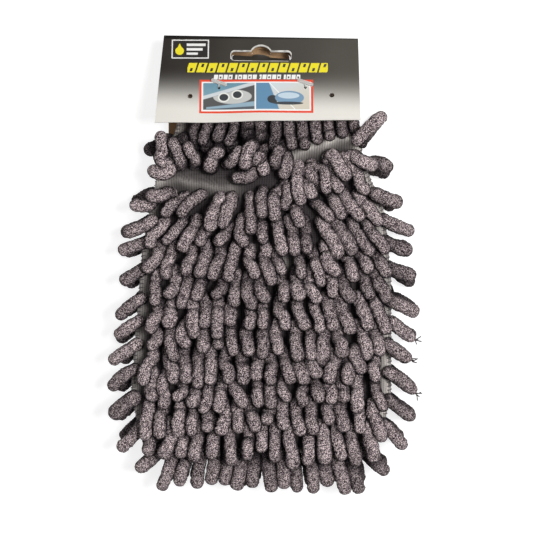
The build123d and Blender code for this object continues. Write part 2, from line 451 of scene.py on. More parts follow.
def knit_panel(name, node, side):
    """One panel as an even grid, closed at the back by a second layer a knit's thickness in."""
    across, along, foot_rows = 111, 141, 12
    knit, gap = 1.1 * mm, 0.1 * mm
    ys = np.linspace(hem_y + hem_lap, foot_y, along)
    ys[-foot_rows:] = foot_y + (ys[-foot_rows] - foot_y) * np.linspace(1, 0, foot_rows) ** 1.7
    outer = []
    for y in ys:
        for share in np.sin(np.linspace(-1, 1, across) * np.pi / 2):
            x = share * edge_at(share, y)
            outer.append((x, y, panel_height(np.array(x), np.array(y), side)))
    outer = np.array(outer, float)
    inner = outer.copy()
    inner[:, 2] -= side * knit
    too_deep = side * (inner[:, 2] - middle_z) < gap
    inner[:, 2] = np.where(too_deep, middle_z + side * gap, inner[:, 2])
    faces = grid_faces(along, across)
    count = len(outer)
    faces += [tuple(i + count for i in reversed(face)) for face in faces]
    rim = (
        list(range(across))
        + [(i + 1) * across - 1 for i in range(1, along)]
        + [(along - 1) * across + j for j in range(across - 2, -1, -1)]
        + [i * across for i in range(along - 2, 0, -1)]
    )
    for here, there in zip(rim, rim[1:] + rim[:1]):
        faces.append((there, here, here + count, there + count))
    panel = make_mesh(name, np.concatenate([outer, inner]), faces)
    # painted light and shade of the knit
    lit_share = knit_light_mask(outer[:, 0], outer[:, 1])
    set_attribute(panel.data, "bare", np.concatenate([lit_share, lit_share]))
    panel.data.materials.append(ribbed_knit)
    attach(panel, "mitt")
    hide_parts(node)
    area = sum((left_edge(y) + right_edge(y)) * abs(step) for y, step in zip(ys[:-1], np.diff(ys)))
    # the cut is a little larger than the flat outline, because the knit domes between its seams
    float(area * 1.05)


knit_panel("front_knit", "front_panel", 1)
knit_panel("back_knit", "back_panel", -1)

# -------------------- chenille pile
# Fourteen rows of soft fingers on each face. Each row is one chenille yarn, looped into fingers
# and stitched down along its roots; the fingers lean on each other and on the rows below.

finger_radius = 4.1 * mm
finger_reach = 26.5 * mm
links = 7
rings = 48
around = 32
rows_per_face = 14
root_pitch = 8.7 * mm
tuft_pitch = 0.95 * mm
nub_height = 0.62 * mm
root_setback = 3.5 * mm
root_height = 0.8 * mm
thread_radius = 0.32 * mm
# a finger's angles at its root and its tip before it settles, in degrees off the panel: in most
# rows, in the first one under the card, in the parted second one and in the last one
free_lift, card_lift, parted_lift, foot_lift = (50, -16), (34, -2), (12, -12), (30, -6)
row_top = {row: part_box(f"front_chenille_row_{row:02d}")[1].y for row in range(1, rows_per_face + 1)}
# the first and last rows are stitched a little closer
row_spacing = {1: 0.84, rows_per_face: 0.9}

# Where handling has combed the pile another way: the place and reach of the stroke in mm, the
# heading from straight down the mitt (positive to the right), and how much the pile stands up.
strokes = [
    (-61, 57, 6, -88, 0), (-53, 57, 5, -170, 10), (-43, 57, 5, -166, 12), (-33, 57, 5, 163, 10),
    (-24, 57, 5, 142, 12), (-14, 57, 5, 130, 10), (-5, 57, 5, -56, 14), (4, 57, 4, 160, 14),
    (14, 57, 4, -22, 10), (23, 57, 5, 44, 6), (41, 57, 5, 30, 4), (56, 70, 6, 136, 6),
    (49, 70, 4, 74, 6), (-60, 72, 7, -150, 0), (30, 72, 6, 20, 10), (-52, 42, 8, -80, 0),
    (-40, 42, 6, -46, 4), (-16, 42, 8, -30, 6), (8, 42, 7, -8, 12),
]
# Where the front's rows part round the folds: the row, from and to across, the lift at the root
# if it changes, and how far the stitching moves up the mitt, in mm.
partings = [
    (3, -99, -16, None, -0.5), (4, -99, -18, None, -2.5),
    (2, 14, 30, 34, -12), (2, 30, 54, 34, -8), (3, 10, 30, 36, -7),
]


def combed(x, y, random):
    """A finger's heading, which fans out from the middle unless a stroke has reached it, and its rise."""
    t = max(-1.0, min(1.0, x / float(edge_at(x, y))))
    high = float(smooth(-45 * mm, 5 * mm, y) if x > 0 else smooth(-20 * mm, 35 * mm, y))
    low = float(smooth(80 * mm, 108 * mm, -y))
    heading = t * (5 + 34 * high + 12 * low)
    edge = float(smooth(0.84, 1.0, abs(t)))
    heading += math.copysign(edge * (56 - 16 * high - 26 * low), t)
    heading += random.normal() * (3.5 + 7 * float(smooth(-10 * mm, 60 * mm, y)))
    rise = 0.0
    for sx, sy, across, way, up in strokes:
        if math.hypot(x - sx * mm, y - sy * mm) < across * mm:
            heading = way + random.normal() * 3
            rise = up
    return heading, rise


def plan_pile(side):
    """Every finger of one face: its row, root, heading, lifts and length."""
    random = np.random.default_rng(11 if side > 0 else 12)
    fingers = []
    for row in range(1, rows_per_face + 1):
        y = row_top[row] - root_setback
        left, right = float(left_edge(y)), float(right_edge(y))
        if row == rows_per_face:
            left, right = left + 4 * mm, right + 4 * mm
        inset = 0.7 * finger_radius
        count = int((left + right - 2 * inset) / (root_pitch * row_spacing.get(row, 1))) + 1
        for k in range(count):
            x = -left + inset + k / (count - 1) * (left + right - 2 * inset)
            heading, rise = combed(x, y, random)
            start = free_lift[0] + rise + random.normal() * 6
            end = free_lift[1] + rise + random.normal() * 7
            length = finger_reach * (1 + 0.08 * random.normal())
            bow = 1.6 * mm * math.sin(x / (21 * mm) + 1.7 * row)
            if row == 1:
                heading = heading * 0.15
                (start, end), bow = card_lift, 0
                length *= 0.72 if side > 0 and x > 24 * mm else 0.9
            if abs(heading) > 38 and row > 2:
                length *= 0.84
            if side > 0 and row == 2 and x < -10 * mm:
                (start, end), bow = parted_lift, 2 * mm
                length *= 0.55
                if x < -46 * mm:
                    heading, bow, length = -86, -13 * mm, length / 0.6
            for parted, low, high, lift, shift in partings:
                if side > 0 and row == parted and low * mm < x < high * mm:
                    start, bow = lift or start, shift * mm
            if row == rows_per_face:
                (start, end), bow = foot_lift, 0
            fingers.append({
                "row": row,
                "x": x + random.normal() * 0.5 * mm,
                "y": y + bow + random.normal() * 0.7 * mm,
                "heading": heading, "start": start, "end": end, "length": length,
                "sway": random.normal() * 8,
                "frayed": side > 0 and x > 70 * mm and -75 * mm < y < -20 * mm,
            })
    # the front's first finger on the left is missing, and the card's kraft shows there
    return [f for f in fingers if not (side > 0 and f["row"] == 1 and f["x"] < -44 * mm)]


def shape_of(finger, side):
    """The line that a finger would take with nothing beside it."""
    step = finger["length"] / (links - 1)
    lift = np.radians(np.linspace(finger["start"], finger["end"], links - 1))
    heading = np.radians(finger["heading"] + finger["sway"] * np.linspace(-1, 1, links - 1))
    ways = np.stack([
        np.sin(heading) * np.cos(lift), -np.cos(heading) * np.cos(lift), side * np.sin(lift),
    ], 1)
    x, y = np.array(finger["x"]), np.array(finger["y"])
    root = np.array([x, y, panel_height(x, y, side) + side * root_height], float)
    return np.concatenate([[root], root + np.cumsum(ways * step, 0)])


def settle(fingers, side, rounds=90):
    """Lets the fingers push each other apart and sag until they lie on one another."""
    wanted = np.array([shape_of(f, side) for f in fingers])
    points = wanted.copy()
    steps = np.array([f["length"] / (links - 1) for f in fingers])[:, None]
    count = len(fingers)
    owner = np.repeat(np.arange(count), links)
    room = 2 * finger_radius * 0.97
    rest = 0.85 * finger_radius
    table = 1.25 * finger_radius
    weight = 0.10 * mm
    spring, shove = 0.06, 0.35
    for turn in range(rounds):
        if turn % 6 == 0:
            flat = points.reshape(-1, 3)
            gap = np.linalg.norm(flat[:, None] - flat[None], axis=2)
            first, second = np.nonzero(np.triu(gap < room * 1.6, 1))
            apart = owner[first] != owner[second]
            first, second = first[apart], second[apart]
        points[:, 1:] += spring * (wanted[:, 1:] - points[:, 1:])
        points[:, 2:, 2] -= weight
        flat = points.reshape(-1, 3)
        between = flat[first] - flat[second]
        length = np.maximum(np.linalg.norm(between, axis=1), 1e-6)
        short = np.clip(room - length, 0, None)
        push = between * (shove * short / length)[:, None]
        np.add.at(flat, first, push)
        np.add.at(flat, second, -push)
        points = flat.reshape(count, links, 3)
        points[:, :2] = wanted[:, :2]
        x, y, z = points[:, 2:, 0], points[:, 2:, 1], points[:, 2:, 2]
        surface = panel_height(x, y, side)
        inside = (np.abs(x) < edge_at(x, y)) & (y > foot_y)
        if side > 0:
            z = np.maximum(z, np.where(inside, surface + rest, table))
        else:
            z = np.maximum(np.minimum(z, np.where(inside, surface - rest, 1)), table)
        points[:, 2:, 2] = z
        for link in range(1, links):
            along = points[:, link] - points[:, link - 1]
            long = np.linalg.norm(along, axis=1, keepdims=True)
            points[:, link] = points[:, link - 1] + along / long * steps
    return points


def nub_field(random):
    """Tufts of chenille over one unrolled finger: 0 in the pits between tufts and 1 on their tops."""
    girth = 2 * math.pi * finger_radius
    count = int(girth * finger_reach / tuft_pitch**2)
    seeds = random.uniform((0, 0), (girth, finger_reach), (count, 2))
    tops = random.uniform(0.6, 1.0, count)
    a = np.arange(around) * girth / around
    s = np.linspace(0, finger_reach, rings)
    across = np.abs(a[None, :, None] - seeds[None, None, :, 0])
    across = np.minimum(across, girth - across)
    along = s[:, None, None] - seeds[None, None, :, 1]
    away = np.hypot(across, along)
    near = np.argmin(away, 2)
    nearest = np.take_along_axis(away, near[:, :, None], 2)[:, :, 0]
    return np.clip(tops[near] * (1.25 - nearest / (0.72 * tuft_pitch)), 0, 1)


def finger_skin(line, length, field, spin, frayed, thick):
    """One finger's points, how high each stands in its tuft, how far it faces up, and the middle."""
    lanes = np.concatenate([[2 * line[0] - line[1]], line, [2 * line[-1] - line[-2]]])
    spots = np.linspace(0, links - 1 - 1e-6, rings)
    k = spots.astype(int)
    f = (spots - k)[:, None]
    p0, p1, p2, p3 = lanes[k], lanes[k + 1], lanes[k + 2], lanes[k + 3]
    centre = 0.5 * (
        2 * p1 + (p2 - p0) * f + (2 * p0 - 5 * p1 + 4 * p2 - p3) * f**2
        + (3 * p1 - p0 - 3 * p2 + p3) * f**3
    )
    run = spots / (links - 1) * length
    radius = np.full(rings, finger_radius * thick)
    from_tip = length - run
    cap = finger_radius * (0.7 if frayed else 1.0)
    tip = np.clip(1 - from_tip / cap, 0, 1)
    radius *= np.sqrt(np.clip(1 - tip**2, 0, 1))
    pinch = 0.35
    if frayed:
        radius *= 1 - pinch * smooth(7 * mm, 0, from_tip)
    root = np.clip(1 - run / (2.5 * mm), 0, 1)
    radius *= 1 - pinch * root**2
    radius *= 1 + 0.035 * np.sin(run / (2.1 * mm) + spin) + 0.025 * np.sin(run / (0.9 * mm) + 2 * spin)
    turned = np.roll(field, int(spin * 5) % around, axis=1)
    if int(spin * 7) % 2:
        turned = turned[::-1]
    nub = nub_height * np.clip(radius[:, None] / finger_radius, 0.15, 1)
    swell = radius[:, None] + (turned - 0.6) * nub
    ring, ahead = rings_along(centre, (0.3, 0.2, 1.0), around)
    skin = centre[:, None] + ring * swell[:, :, None]
    lean = tip[:, None]
    facing = ring[:, :, 2] * np.sqrt(1 - lean**2) + ahead[:, 2:3] * lean
    return skin.reshape(-1, 3), turned.reshape(-1), facing.reshape(-1), centre


def chenille_finish():
    material, at = new_finish("chenille", Roughness=0.95, Specular_IOR_Level=0.15)
    tuft = at.stored("tuft")
    fibre = at.noise(0.56 * mm, 2.0, 0.7)
    speck = at.cells(0.72 * mm)
    drift = at.noise(22 * mm)
    # painted shade in the pits between tufts and painted highlights on their tops, over the fibres' speckled
    # grain
    lit = (tuft * 0.5 + (fibre - 0.5) * 5.2 - speck * 0.35 + 0.19).eased(0.0, 1.0)
    base = lit.mix((0.036, 0.023, 0.029), (1.0, 0.85, 0.865))
    # painted shade from the finger's shade attribute, with a slow drift of tone
    shade_and_tone = (at.stored("shade") + (drift - 0.5) * 0.25).eased(0.0, 1.0)
    # the base colour darkened by that painted shade
    shaded_base = at.node(
        "Mix", {"data_type": "RGBA", "blend_type": "MULTIPLY"},
        {0: 1.0, 6: base, 7: shade_and_tone.mix((0.030, 0.026, 0.032), (1.0, 0.98, 0.97))}, 2,
    )
    return feed(
        material,
        Base_Color=shaded_base,
        Normal=bump(tuft * 0.8 + fibre * 0.9 - speck * 0.5, 0.75, 0.5 * mm),
    )


chenille = chenille_finish()
nub_random = np.random.default_rng(5)
nub_fields = [nub_field(nub_random) for _ in range(10)]
# the front's first row is painted darker, a painted shadow of the card over it, and its last row is darker
row_lightness = {1: 0.6, rows_per_face: 0.86}
# painted shade over two patches of the front's pile: place, width and depth
shaded_patches = [(-30, 4, 28, 0.28), (56, 0, 25, 0.13)]


def finger_shade(row, side, centre, facing, others):
    """Painted shade on each point of a finger, from the way it faces and from the pile over it."""
    beside = np.hypot(centre[:, None, 0] - others[:, 0], centre[:, None, 1] - others[:, 1])
    above = side * (others[:, 2] - centre[:, None, 2])
    cover = np.clip(above / finger_radius - 0.5, 0, 2)
    cover = (cover * np.exp(-(beside / (1.1 * finger_radius)) ** 2)).sum(1)
    # painted shade where other fingers lie over this one
    buried_shade = np.clip(cover * 0.34, 0, 0.75)
    facing = facing.reshape(rings, around)
    # painted shade: lighter where the finger faces out from its panel, darker on its sides and the side
    # towards it
    lightness = smooth(-0.15, 0.97, side * facing) ** 1.6
    # past the panel's edge a finger lies free, and its underside is lit from the table, so there the painted
    # shade is lighter and plainer
    x, y = centre[:, 0], centre[:, 1]
    past_edge = np.maximum(np.abs(x) - edge_at(x, y), foot_y - y)
    free = (0.55 * smooth(0, 5 * mm, past_edge))[:, None]
    lightness = lightness * (1 - free) + (0.34 + 0.26 * (facing > 0)) * free
    lightness = lightness * (1 - buried_shade)[:, None]
    patch = 1 + 0.16 * ripple(x[0] * 0.5, y[0] * 0.5, 7)
    if side > 0:
        # painted shadow of the card on the first row, and a darker last row
        lightness = lightness * row_lightness.get(row, 1)
        # painted shade over the patches listed above
        for px, py, wide, depth in shaded_patches:
            away = np.hypot(x[0] - px * mm, y[0] - py * mm) / (wide * mm)
            patch *= 1 - depth * math.exp(-away**2)
    return lightness.reshape(-1) * patch


def frayed_strand(line, random):
    """One loose fibre that curls out of the tip of a frayed finger."""
    way = line[-1] - line[-2]
    way = way / np.linalg.norm(way) + random.normal(0, 0.5, 3)
    curl = np.cumsum(random.normal(0, 0.35, (6, 3)), 0) + way
    steps = curl / np.linalg.norm(curl, axis=1)[:, None]
    path = line[-1] - way * mm + np.cumsum(steps, 0) * 0.9 * mm
    path[:, 2] = np.maximum(path[:, 2], 1 * mm)
    return tube(path, thread_radius, 5)


def pile_rows(side):
    """Settles one face's fingers and makes a piece of each row."""
    fingers = plan_pile(side)
    lines = settle(fingers, side)
    crowd = lines[:, 1:].reshape(-1, 3)
    owner = np.repeat(np.arange(len(fingers)), links - 1)
    word = "front" if side > 0 else "back"
    random = np.random.default_rng(21 if side > 0 else 22)
    finger_faces = tube_faces(rings, around)
    for row in range(1, rows_per_face + 1):
        skins, tufts, shades = [], [], []
        for own, (finger, line) in enumerate(zip(fingers, lines)):
            if finger["row"] != row:
                continue
            field = nub_fields[random.integers(len(nub_fields))]
            spin = random.uniform(0, 6.28)
            thick = (1 + 0.06 * random.normal()) * (0.88 if row == 1 else 1)
            skin, tuft, facing, centre = finger_skin(
                line, finger["length"], field, spin, finger["frayed"], thick
            )
            shade = finger_shade(row, side, centre, facing, crowd[owner != own])
            skins.append((skin, finger_faces))
            tufts.append(tuft)
            shades.append(shade * random.uniform(0.72, 1.08))
            for _ in range(5 if finger["frayed"] else 0):
                skins.append(frayed_strand(line, random))
                tufts.append(np.full(len(skins[-1][0]), 0.3))
                shades.append(np.full(len(skins[-1][0]), 0.35))
        piece = joined(f"{word}_chenille_{row:02d}", skins)
        set_attribute(piece.data, "tuft", np.concatenate(tufts))
        set_attribute(piece.data, "shade", np.concatenate(shades))
        piece.data.materials.append(chenille)
        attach(piece, "mitt")
        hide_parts(f"{word}_chenille_row_{row:02d}")


pile_rows(1)
pile_rows(-1)

# -------------------- side seam
# The two panels are overlocked together down both sides and across the foot: a firm ridge of
# folded knit with a thread that crosses over it again and again.


def edge_line(count):
    """Points along the mitt's edge from the hem down the right side, round the foot and back up."""
    ys = np.linspace(hem_y, foot_y, 160)
    right = [(right_edge(y), y) for y in ys]
    left = [(-left_edge(y), y) for y in ys[::-1]]
    bottom = [(x, foot_y) for x in np.linspace(right[-1][0], left[0][0], 60)[1:-1]]
    line = np.array(right + bottom + left, float)
    for _ in range(6):
        line[1:-1] = (line[:-2] + 2 * line[1:-1] + line[2:]) / 4
    run = np.concatenate([[0], np.cumsum(np.linalg.norm(np.diff(line, axis=0), axis=1))])
    spots = np.linspace(0, run[-1], count)
    even = [np.interp(spots, run, line[:, axis]) for axis in (0, 1)]
    return np.stack(even, 1), run[-1]


ridge_radius = 1.9 * mm
ridge_steps = 420
draw_in = 1 - 0.8 * ridge_radius / hip_half_width
ridge_line, ridge_length = edge_line(ridge_steps)
ridge_path = np.column_stack([ridge_line, np.full(ridge_steps, middle_z)])
ridge_path[:, 0] *= draw_in
ridge_swell = 1 + 0.10 * np.sin(np.arange(ridge_steps) * 1.7)
ridge = joined("side_seam_ridge", [tube(ridge_path, ridge_radius * ridge_swell, 14)])
# the ridge's knit gets an even lightness half-way between the painted shade and the lit knit
set_attribute(ridge.data, "bare", np.full(len(ridge.data.vertices), 0.5))
ridge.data.materials.append(ribbed_knit)
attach(ridge, "mitt")
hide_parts("side_seam")


def thread_finish():
    material, at = new_finish("sewing_thread", Roughness=0.6)
    x, y, z = at.axes()
    ply = (x + y + z).wave(0.5 * mm)
    return feed(
        material,
        Base_Color=(ply * 0.3 + 0.5).mix((0.035, 0.030, 0.033), (0.13, 0.112, 0.118)),
        Normal=bump(ply, 0.4, 0.1 * mm),
    )


sewing_thread = thread_finish()
stitch_step = 2.4 * mm
points_per_stitch = 8
crossing_steps = int(ridge_length / stitch_step) * points_per_stitch + 1
crossing_line = edge_line(crossing_steps)[0]
turns = np.arange(crossing_steps) * 2 * np.pi / points_per_stitch
outward = np.gradient(crossing_line, axis=0)
outward = np.column_stack([-outward[:, 1], outward[:, 0]])
outward /= np.linalg.norm(outward, axis=1, keepdims=True)
round_ridge = ridge_radius * 1.13
overlock_path = np.column_stack([
    crossing_line[:, 0] * draw_in + outward[:, 0] * np.cos(turns) * round_ridge,
    crossing_line[:, 1] + outward[:, 1] * np.cos(turns) * round_ridge,
    middle_z + np.sin(turns) * round_ridge,
])
overlock = joined("overlock_thread", [tube(overlock_path, thread_radius, 6)])
overlock.data.materials.append(sewing_thread)
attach(overlock, "mitt")

# -------------------- cuff hem
# The mouth is a folded band of the same knit, gathered by the elastic that runs inside it
# and closed by one line of stitches.

hem_centre = (right_edge(cuff_y) - left_edge(cuff_y)) / 2
hem_wide = (right_edge(cuff_y) + left_edge(cuff_y)) / 2
hem_tall = (hem_high.z - hem_low.z) / 2 - 0.2 * mm
hem_wall = 2.6 * mm
hem_steps = 260
hem_turn = 1.2 * mm
hem_gather = 0.35 * mm


def gathers(x):
    """The knit's gathers round the mouth, from -1 to 1."""
    return np.sin(x / (1.15 * mm) + 1.3 * np.sin(x / (7 * mm)))


def hem_ring(y, inset, gather):
    """One loop round the mouth at y, drawn in by inset, with the elastic's gathers."""
    angle = np.arange(hem_steps) * 2 * np.pi / hem_steps
    wide, tall = hem_wide - inset, hem_tall - inset
    x = hem_centre + wide * np.sign(np.cos(angle)) * np.abs(np.cos(angle)) ** 0.75
    z = tall * np.sign(np.sin(angle)) * np.abs(np.sin(angle)) ** 0.5
    wave = gathers(x) + 0.5 * np.sin(x / (0.7 * mm) + y / (3 * mm))
    z = z + np.sign(np.sin(angle)) * gather * wave * np.abs(np.sin(angle)) ** 0.5
    return np.column_stack([x, np.full(hem_steps, y), middle_z + z])


loops = []
for y in np.linspace(hem_y - hem_lap, cuff_y - hem_turn, 15):
    loops.append(hem_ring(y, 0, hem_gather))
for share in np.linspace(0, 1, 7)[1:-1]:
    turn = share * np.pi
    loops.append(hem_ring(
        cuff_y - hem_turn + 1.1 * mm * math.sin(turn), hem_wall * (1 - math.cos(turn)) / 2,
        hem_gather * (1 - 0.5 * share),
    ))
for share in np.linspace(0, 1, 9):
    loops.append(hem_ring(cuff_y - hem_turn - share * (cuff_y - hem_y), hem_wall, 0.15 * mm))
hem_faces = grid_faces(len(loops), hem_steps, closed=True)
last = (len(loops) - 1) * hem_steps
for j in range(hem_steps):
    k = (j + 1) % hem_steps
    hem_faces.append((last + j, last + k, k, j))
hem = make_mesh("cuff_hem_band", np.concatenate(loops), hem_faces)
# the hem's knit gets an even lightness, nearer the lit knit than the painted shade
set_attribute(hem.data, "bare", np.full(len(hem.data.vertices), 0.75))
hem.data.materials.append(ribbed_knit)
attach(hem, "mitt")
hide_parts("cuff_hem")

stitch_skins = []
stitch_gap = 4.2 * mm
stitch_bow = [(-1.4, -0.35), (-1.0, 0.12), (0, 0.25), (1.0, 0.12), (1.4, -0.35)]
for side in (-1, 1):
    for k in range(int(2 * (hem_wide - 6 * mm) / stitch_gap)):
        x = hem_centre - hem_wide + 7 * mm + k * stitch_gap
        z = middle_z + side * (hem_tall + hem_gather * gathers(x))
        y = hem_y + 2 * mm
        path = [(x + dx * mm, y + 0.1 * dx * mm, z + side * dz * mm) for dx, dz in stitch_bow]
        stitch_skins.append(tube(path, thread_radius, 6))
stitches = joined("hem_stitches", stitch_skins)
stitches.data.materials.append(sewing_thread)
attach(stitches, "mitt")
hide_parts("hem_stitching")


def elastic_finish():
    material, at = new_finish("woven_elastic", Roughness=0.7)
    x, y, z = at.axes()
    weave = y.wave(1.4 * mm) * 0.6 + (x + z).wave(0.6 * mm) * 0.4
    return feed(
        material,
        Base_Color=(weave * 0.4 + 0.5).mix((0.30, 0.29, 0.27), (0.68, 0.66, 0.62)),
        Normal=bump(weave, 0.5, 0.2 * mm),
    )


elastic = frame["nodes"]["cuff_elastic"]
elastic.data.materials.clear()
elastic.data.materials.append(elastic_finish())

# -------------------- header card
# One sheet of printed board, folded over the cuff. The outside is printed and faintly glossy,
# the inside is bare kraft, and the die-cut edges show the board's pale core.

leaf_low, leaf_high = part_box("card_front_leaf")
crease_y = leaf_high.y
leaf_drop = leaf_high.z - leaf_low.z
board = 0.6 * mm
leaf_tilt = math.atan2(leaf_drop - board, leaf_high.y - leaf_low.y)


def sliced_copy(name, node, pitch):
    """A copy of a CAD node's mesh, cut into small cells so that it can bend."""
    mesh = bpy.data.meshes.new(name)
    cells = bmesh.new()
    cells.from_mesh(frame["nodes"][node].data)
    bmesh.ops.remove_doubles(cells, verts=cells.verts, dist=1e-6)
    low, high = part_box(node)
    for axis in (0, 1):
        way = Vector((1, 0, 0)) if axis == 0 else Vector((0, 1, 0))
        count = int((high[axis] - low[axis]) / pitch)
        for k in range(1, count):
            at = low[axis] + k * (high[axis] - low[axis]) / count
            bmesh.ops.bisect_plane(
                cells, geom=cells.verts[:] + cells.edges[:] + cells.faces[:],
                plane_co=way * at, plane_no=way,
            )
    cells.to_mesh(mesh)
    cells.free()
    return in_scene(name, mesh)


ink_yellow = (0.86, 0.74, 0.030)
ink_black = (0.030, 0.027, 0.025)
ink_dark = (0.05, 0.055, 0.06)
bare_white = (0.85, 0.84, 0.82)


def printed_finish(name, pictures):
    """Card print in mm from the fold: a dark band that fades to off-white, under the artwork."""
    material, at = new_finish(name, Specular_IOR_Level=0.25)
    x, y, z = at.axes()
    down = ((crease_y - y) * math.cos(leaf_tilt) + (z - leaf_low.z) * math.sin(leaf_tilt)) / mm
    right = x / mm + 1.5
    # painted light on the dark band: a painted sheen drifts over it, and it is painted lighter towards the
    # right
    sheen = (at.noise(30 * mm, 1.0) - 0.5) * 0.3
    fade = (down + (at.noise(60 * mm) - 0.5) * 3 - right * 0.02).eased(18.0, 50.0).power(2.0)
    slate = (right * 0.006 + 0.45 + sheen).mix((0.016, 0.013, 0.011), (0.105, 0.096, 0.082))
    slate = down.eased(0.6, 2.6).mix((0.010, 0.008, 0.007), slate)
    colour = fade.mix(slate, (0.765, 0.74, 0.685))

    def box(left, top, wide, tall, soft=0.12):
        across = (right - (left + wide / 2)).size()
        downward = (down - (top + tall / 2)).size()
        return (wide / 2 - across).eased(-soft, soft) * (tall / 2 - downward).eased(-soft, soft)

    def disc(cx, cy, rx, ry, soft=0.06):
        far = ((right - cx) / rx).power(2.0) + ((down - cy) / ry).power(2.0)
        return (1 - far).eased(-soft, soft)

    if pictures:
        # the slot's punched rim, where the ink has cracked back to the board
        from_slot = right - 1.5
        corner = (from_slot.size() - 15.8).most(0.0).power(2.0) + (12.03 - down).most(0.0).power(2.0)
        wings = (2.62 - corner.power(0.5)).eased(-0.08, 0.08)
        round_arch = from_slot.power(2.0) + (down - 12.53).power(2.0)
        arch = (6.92 - round_arch.power(0.5)).eased(-0.08, 0.08)
        cracks = (at.noise(3 * mm) * 1.6 - 0.1).eased(0.0, 0.9)
        rim = wings.most(arch) * (down < 15.2) * cracks
        colour = rim.mix(colour, (0.70, 0.68, 0.64))

        # the title: a bar of slanted blocks with small cuts, which stands for bold lettering
        lean = right + (down - 21.0) * 0.28 + 43.0
        block = lean.repeat(6.1)
        pair = lean.repeat(12.2)
        high_cut = (pair > 6.1) * ((down - 19.6).size() < 1.1)
        low_cut = (pair < 6.1) * ((down - 22.3).size() < 1.1)
        notch = ((block - 3.1).size() < 0.75) * (high_cut + low_cut)
        blocks = box(-42.5, 17.9, 84, 6.2) * ((block > 0.55) * (block < 5.6)) * (1 - notch)
        colour = blocks.eased(0.3, 0.7).mix(colour, ink_yellow)

        # a smaller line of blocks under it
        small = right + (down - 27) * 0.1 + 30.0
        letters = (small.repeat(2.9) > 0.5) * (small.repeat(14.5) > 1.6)
        gap = ((small.repeat(5.8) - 1.6).size() < 0.5) * ((down - 27.4).size() < 0.6)
        line = box(-27, 25.6, 52, 3.0) * letters * (1 - gap)
        colour = line.eased(0.3, 0.7).mix(colour, (0.88, 0.87, 0.85))

        # a red frame round two pictures; the left one is a headlamp under a bonnet's edge
        colour = box(-35.2, 28.9, 67.8, 21.4).mix(colour, (0.80, 0.075, 0.035))
        colour = box(-33.9, 30.2, 65.2, 18.8).mix(colour, (0.90, 0.89, 0.87))
        slope = down + right * 0.30
        sky = (at.noise(7 * mm) * 0.5 + (down - 31) * 0.03).mix((0.12, 0.25, 0.33), (0.28, 0.45, 0.53))
        body = (slope - 29.2).eased(-0.2, 0.5).mix(sky, (0.62, 0.66, 0.68))
        body = (slope - 31.6).eased(-0.15, 0.3).mix(body, (0.10, 0.10, 0.10))
        glass = disc(-15.5, 39.8, 11.5, 4.6) * (slope > 31.8)
        body = glass.mix(body, (0.55, 0.56, 0.54))
        for cx, cy in ((-20.6, 40.2), (-12.6, 38.6)):
            body = disc(cx, cy, 3.5, 3.0).mix(body, (0.80, 0.80, 0.76))
            body = disc(cx, cy, 2.6, 2.2).mix(body, ink_dark)
        bumper = (down + right * 0.12 - 42.6).eased(-0.2, 0.4) * (right > -31)
        body = bumper.mix(body, (0.30, 0.43, 0.52))
        body = (down + right * 0.05 - 45.9).eased(-0.3, 0.4).mix(body, (0.10, 0.12, 0.14))
        colour = box(-32.9, 31.0, 30.6, 17.0).mix(colour, body)

        # the right one is a mirror on a car's door
        pane = (down * 0.04 + right * 0.02 - 1.2).eased(0.0, 1.2).mix((0.62, 0.70, 0.75), (0.66, 0.60, 0.50))
        door = (6.5 - (right + (down - 31) * -0.35)).eased(-0.3, 0.5)
        pane = door.mix(pane, (0.13, 0.27, 0.42))
        pillar = (right - (down - 31) * 0.9 - 6.5).size() < 0.35
        pane = pillar.mix(pane, (0.86, 0.88, 0.88))
        for cx, cy, rx, ry, ink in (
            (8.5, 41.6, 3.2, 2.6, ink_dark), (18.5, 40.6, 8.6, 4.4, (0.20, 0.33, 0.47)),
            (18.0, 39.2, 6.4, 2.0, (0.55, 0.66, 0.74)), (17.5, 44.1, 9.2, 1.0, (0.06, 0.07, 0.08)),
        ):
            pane = disc(cx, cy, rx, ry).mix(pane, ink)
        colour = box(-1.4, 31.0, 31.8, 17.0).mix(colour, pane)

        # a plain label: a drop beside three bars in a thin oblong outline
        colour = box(-52.2, 2.4, 22.4, 12.6).mix(colour, bare_white)
        colour = box(-51.5, 3.1, 21.0, 11.2).mix(colour, ink_black)
        colour = disc(-47.4, 9.9, 2.6, 2.7, 0.1).mix(colour, ink_yellow)
        tip = (1 - (right + 47.4).size() * 0.55 - (8.6 - down) * 0.24).eased(0.0, 0.2)
        colour = (tip * (down < 8.8) * (down > 4.4)).mix(colour, ink_yellow)
        bars = box(-43.2, 5.0, 11.4, 1.7) + box(-43.2, 8.0, 9.6, 1.7) + box(-43.2, 11.0, 6.8, 1.5)
        colour = bars.mix(colour, bare_white)
    return feed(
        material,
        Base_Color=colour,
        Roughness=at.noise(5 * mm) * 0.22 + 0.32,
        Normal=bump(at.noise(0.5 * mm, 2.0), 0.05, 0.1 * mm),
    )


def kraft_finish():
    material, at = new_finish("kraft_board", Roughness=0.85, Specular_IOR_Level=0.2)
    drawn_out = at.node("Mapping", {}, {"Vector": at.place(), "Scale": (260.0, 1400.0, 1400.0)})
    streak = at.node("TexNoise", {}, {"Vector": drawn_out, "Detail": 4.0})
    fibre = at.noise(0.8 * mm, 3.0)
    tone = (streak * 0.7 + fibre * 0.5 - 0.1).eased(0.1, 0.9)
    return feed(
        material,
        Base_Color=tone.mix((0.24, 0.140, 0.070), (0.46, 0.290, 0.160)),
        Normal=bump(streak + fibre, 0.2, 0.15 * mm),
    )


def core_finish():
    material, at = new_finish("board_core", Roughness=0.8)
    fibre = at.noise(0.4 * mm, 3.0)
    return feed(material, Base_Color=fibre.mix((0.62, 0.58, 0.52), (0.88, 0.86, 0.82)))


